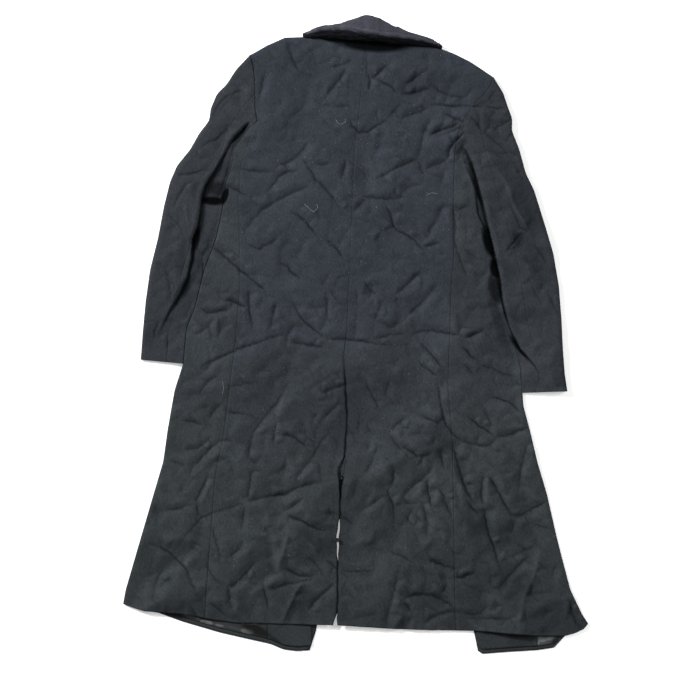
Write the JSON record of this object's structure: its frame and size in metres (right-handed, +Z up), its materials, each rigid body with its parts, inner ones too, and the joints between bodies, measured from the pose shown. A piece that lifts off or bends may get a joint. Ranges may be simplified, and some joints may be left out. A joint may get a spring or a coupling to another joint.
{
  "type": "military overcoat",
  "caption": "Long heavy wool overcoat of military cut, unbuttoned and laid flat face down, back up, with a back vent and standing collar crest.",
  "frame": {"origin": "on the surface the coat lies on, under the middle of its reach", "axes": "+X across the coat towards the right sleeve as seen, +Y from the hem towards the collar, +Z up from the surface"},
  "size_m": [0.928, 1.272, 0.0449],
  "materials": {
    "wool_body": "matte heavy melton wool, dark navy",
    "wool_skirt": "matte heavy melton wool, dark greenish navy",
    "wool_sleeve": "matte heavy melton wool, dark navy",
    "lining": "satin lining, dark grey",
    "buttons": "semi-gloss moulded plastic, near black"
  },
  "bodies": {
    "root": {"back_left": "wool_body", "back_right": "wool_body", "side_left": "wool_skirt", "side_right": "wool_skirt", "front_left": "wool_body", "front_right": "wool_body", "top_sleeve_left": "wool_sleeve", "under_sleeve_left": "wool_sleeve", "top_sleeve_right": "wool_sleeve", "under_sleeve_right": "wool_sleeve", "collar_fall": "wool_body", "collar_stand": "wool_body", "collar_leaf": "wool_body", "vent_underlay": "wool_skirt", "vent_button_1": "buttons", "vent_button_2": "buttons", "front_button_1": "buttons", "front_button_2": "buttons", "front_button_3": "buttons", "front_button_4": "buttons", "front_button_5": "buttons", "facing_left": "wool_skirt", "facing_right": "wool_skirt", "lining_left": "lining", "lining_right": "lining"}
  },
  "joints": []
}
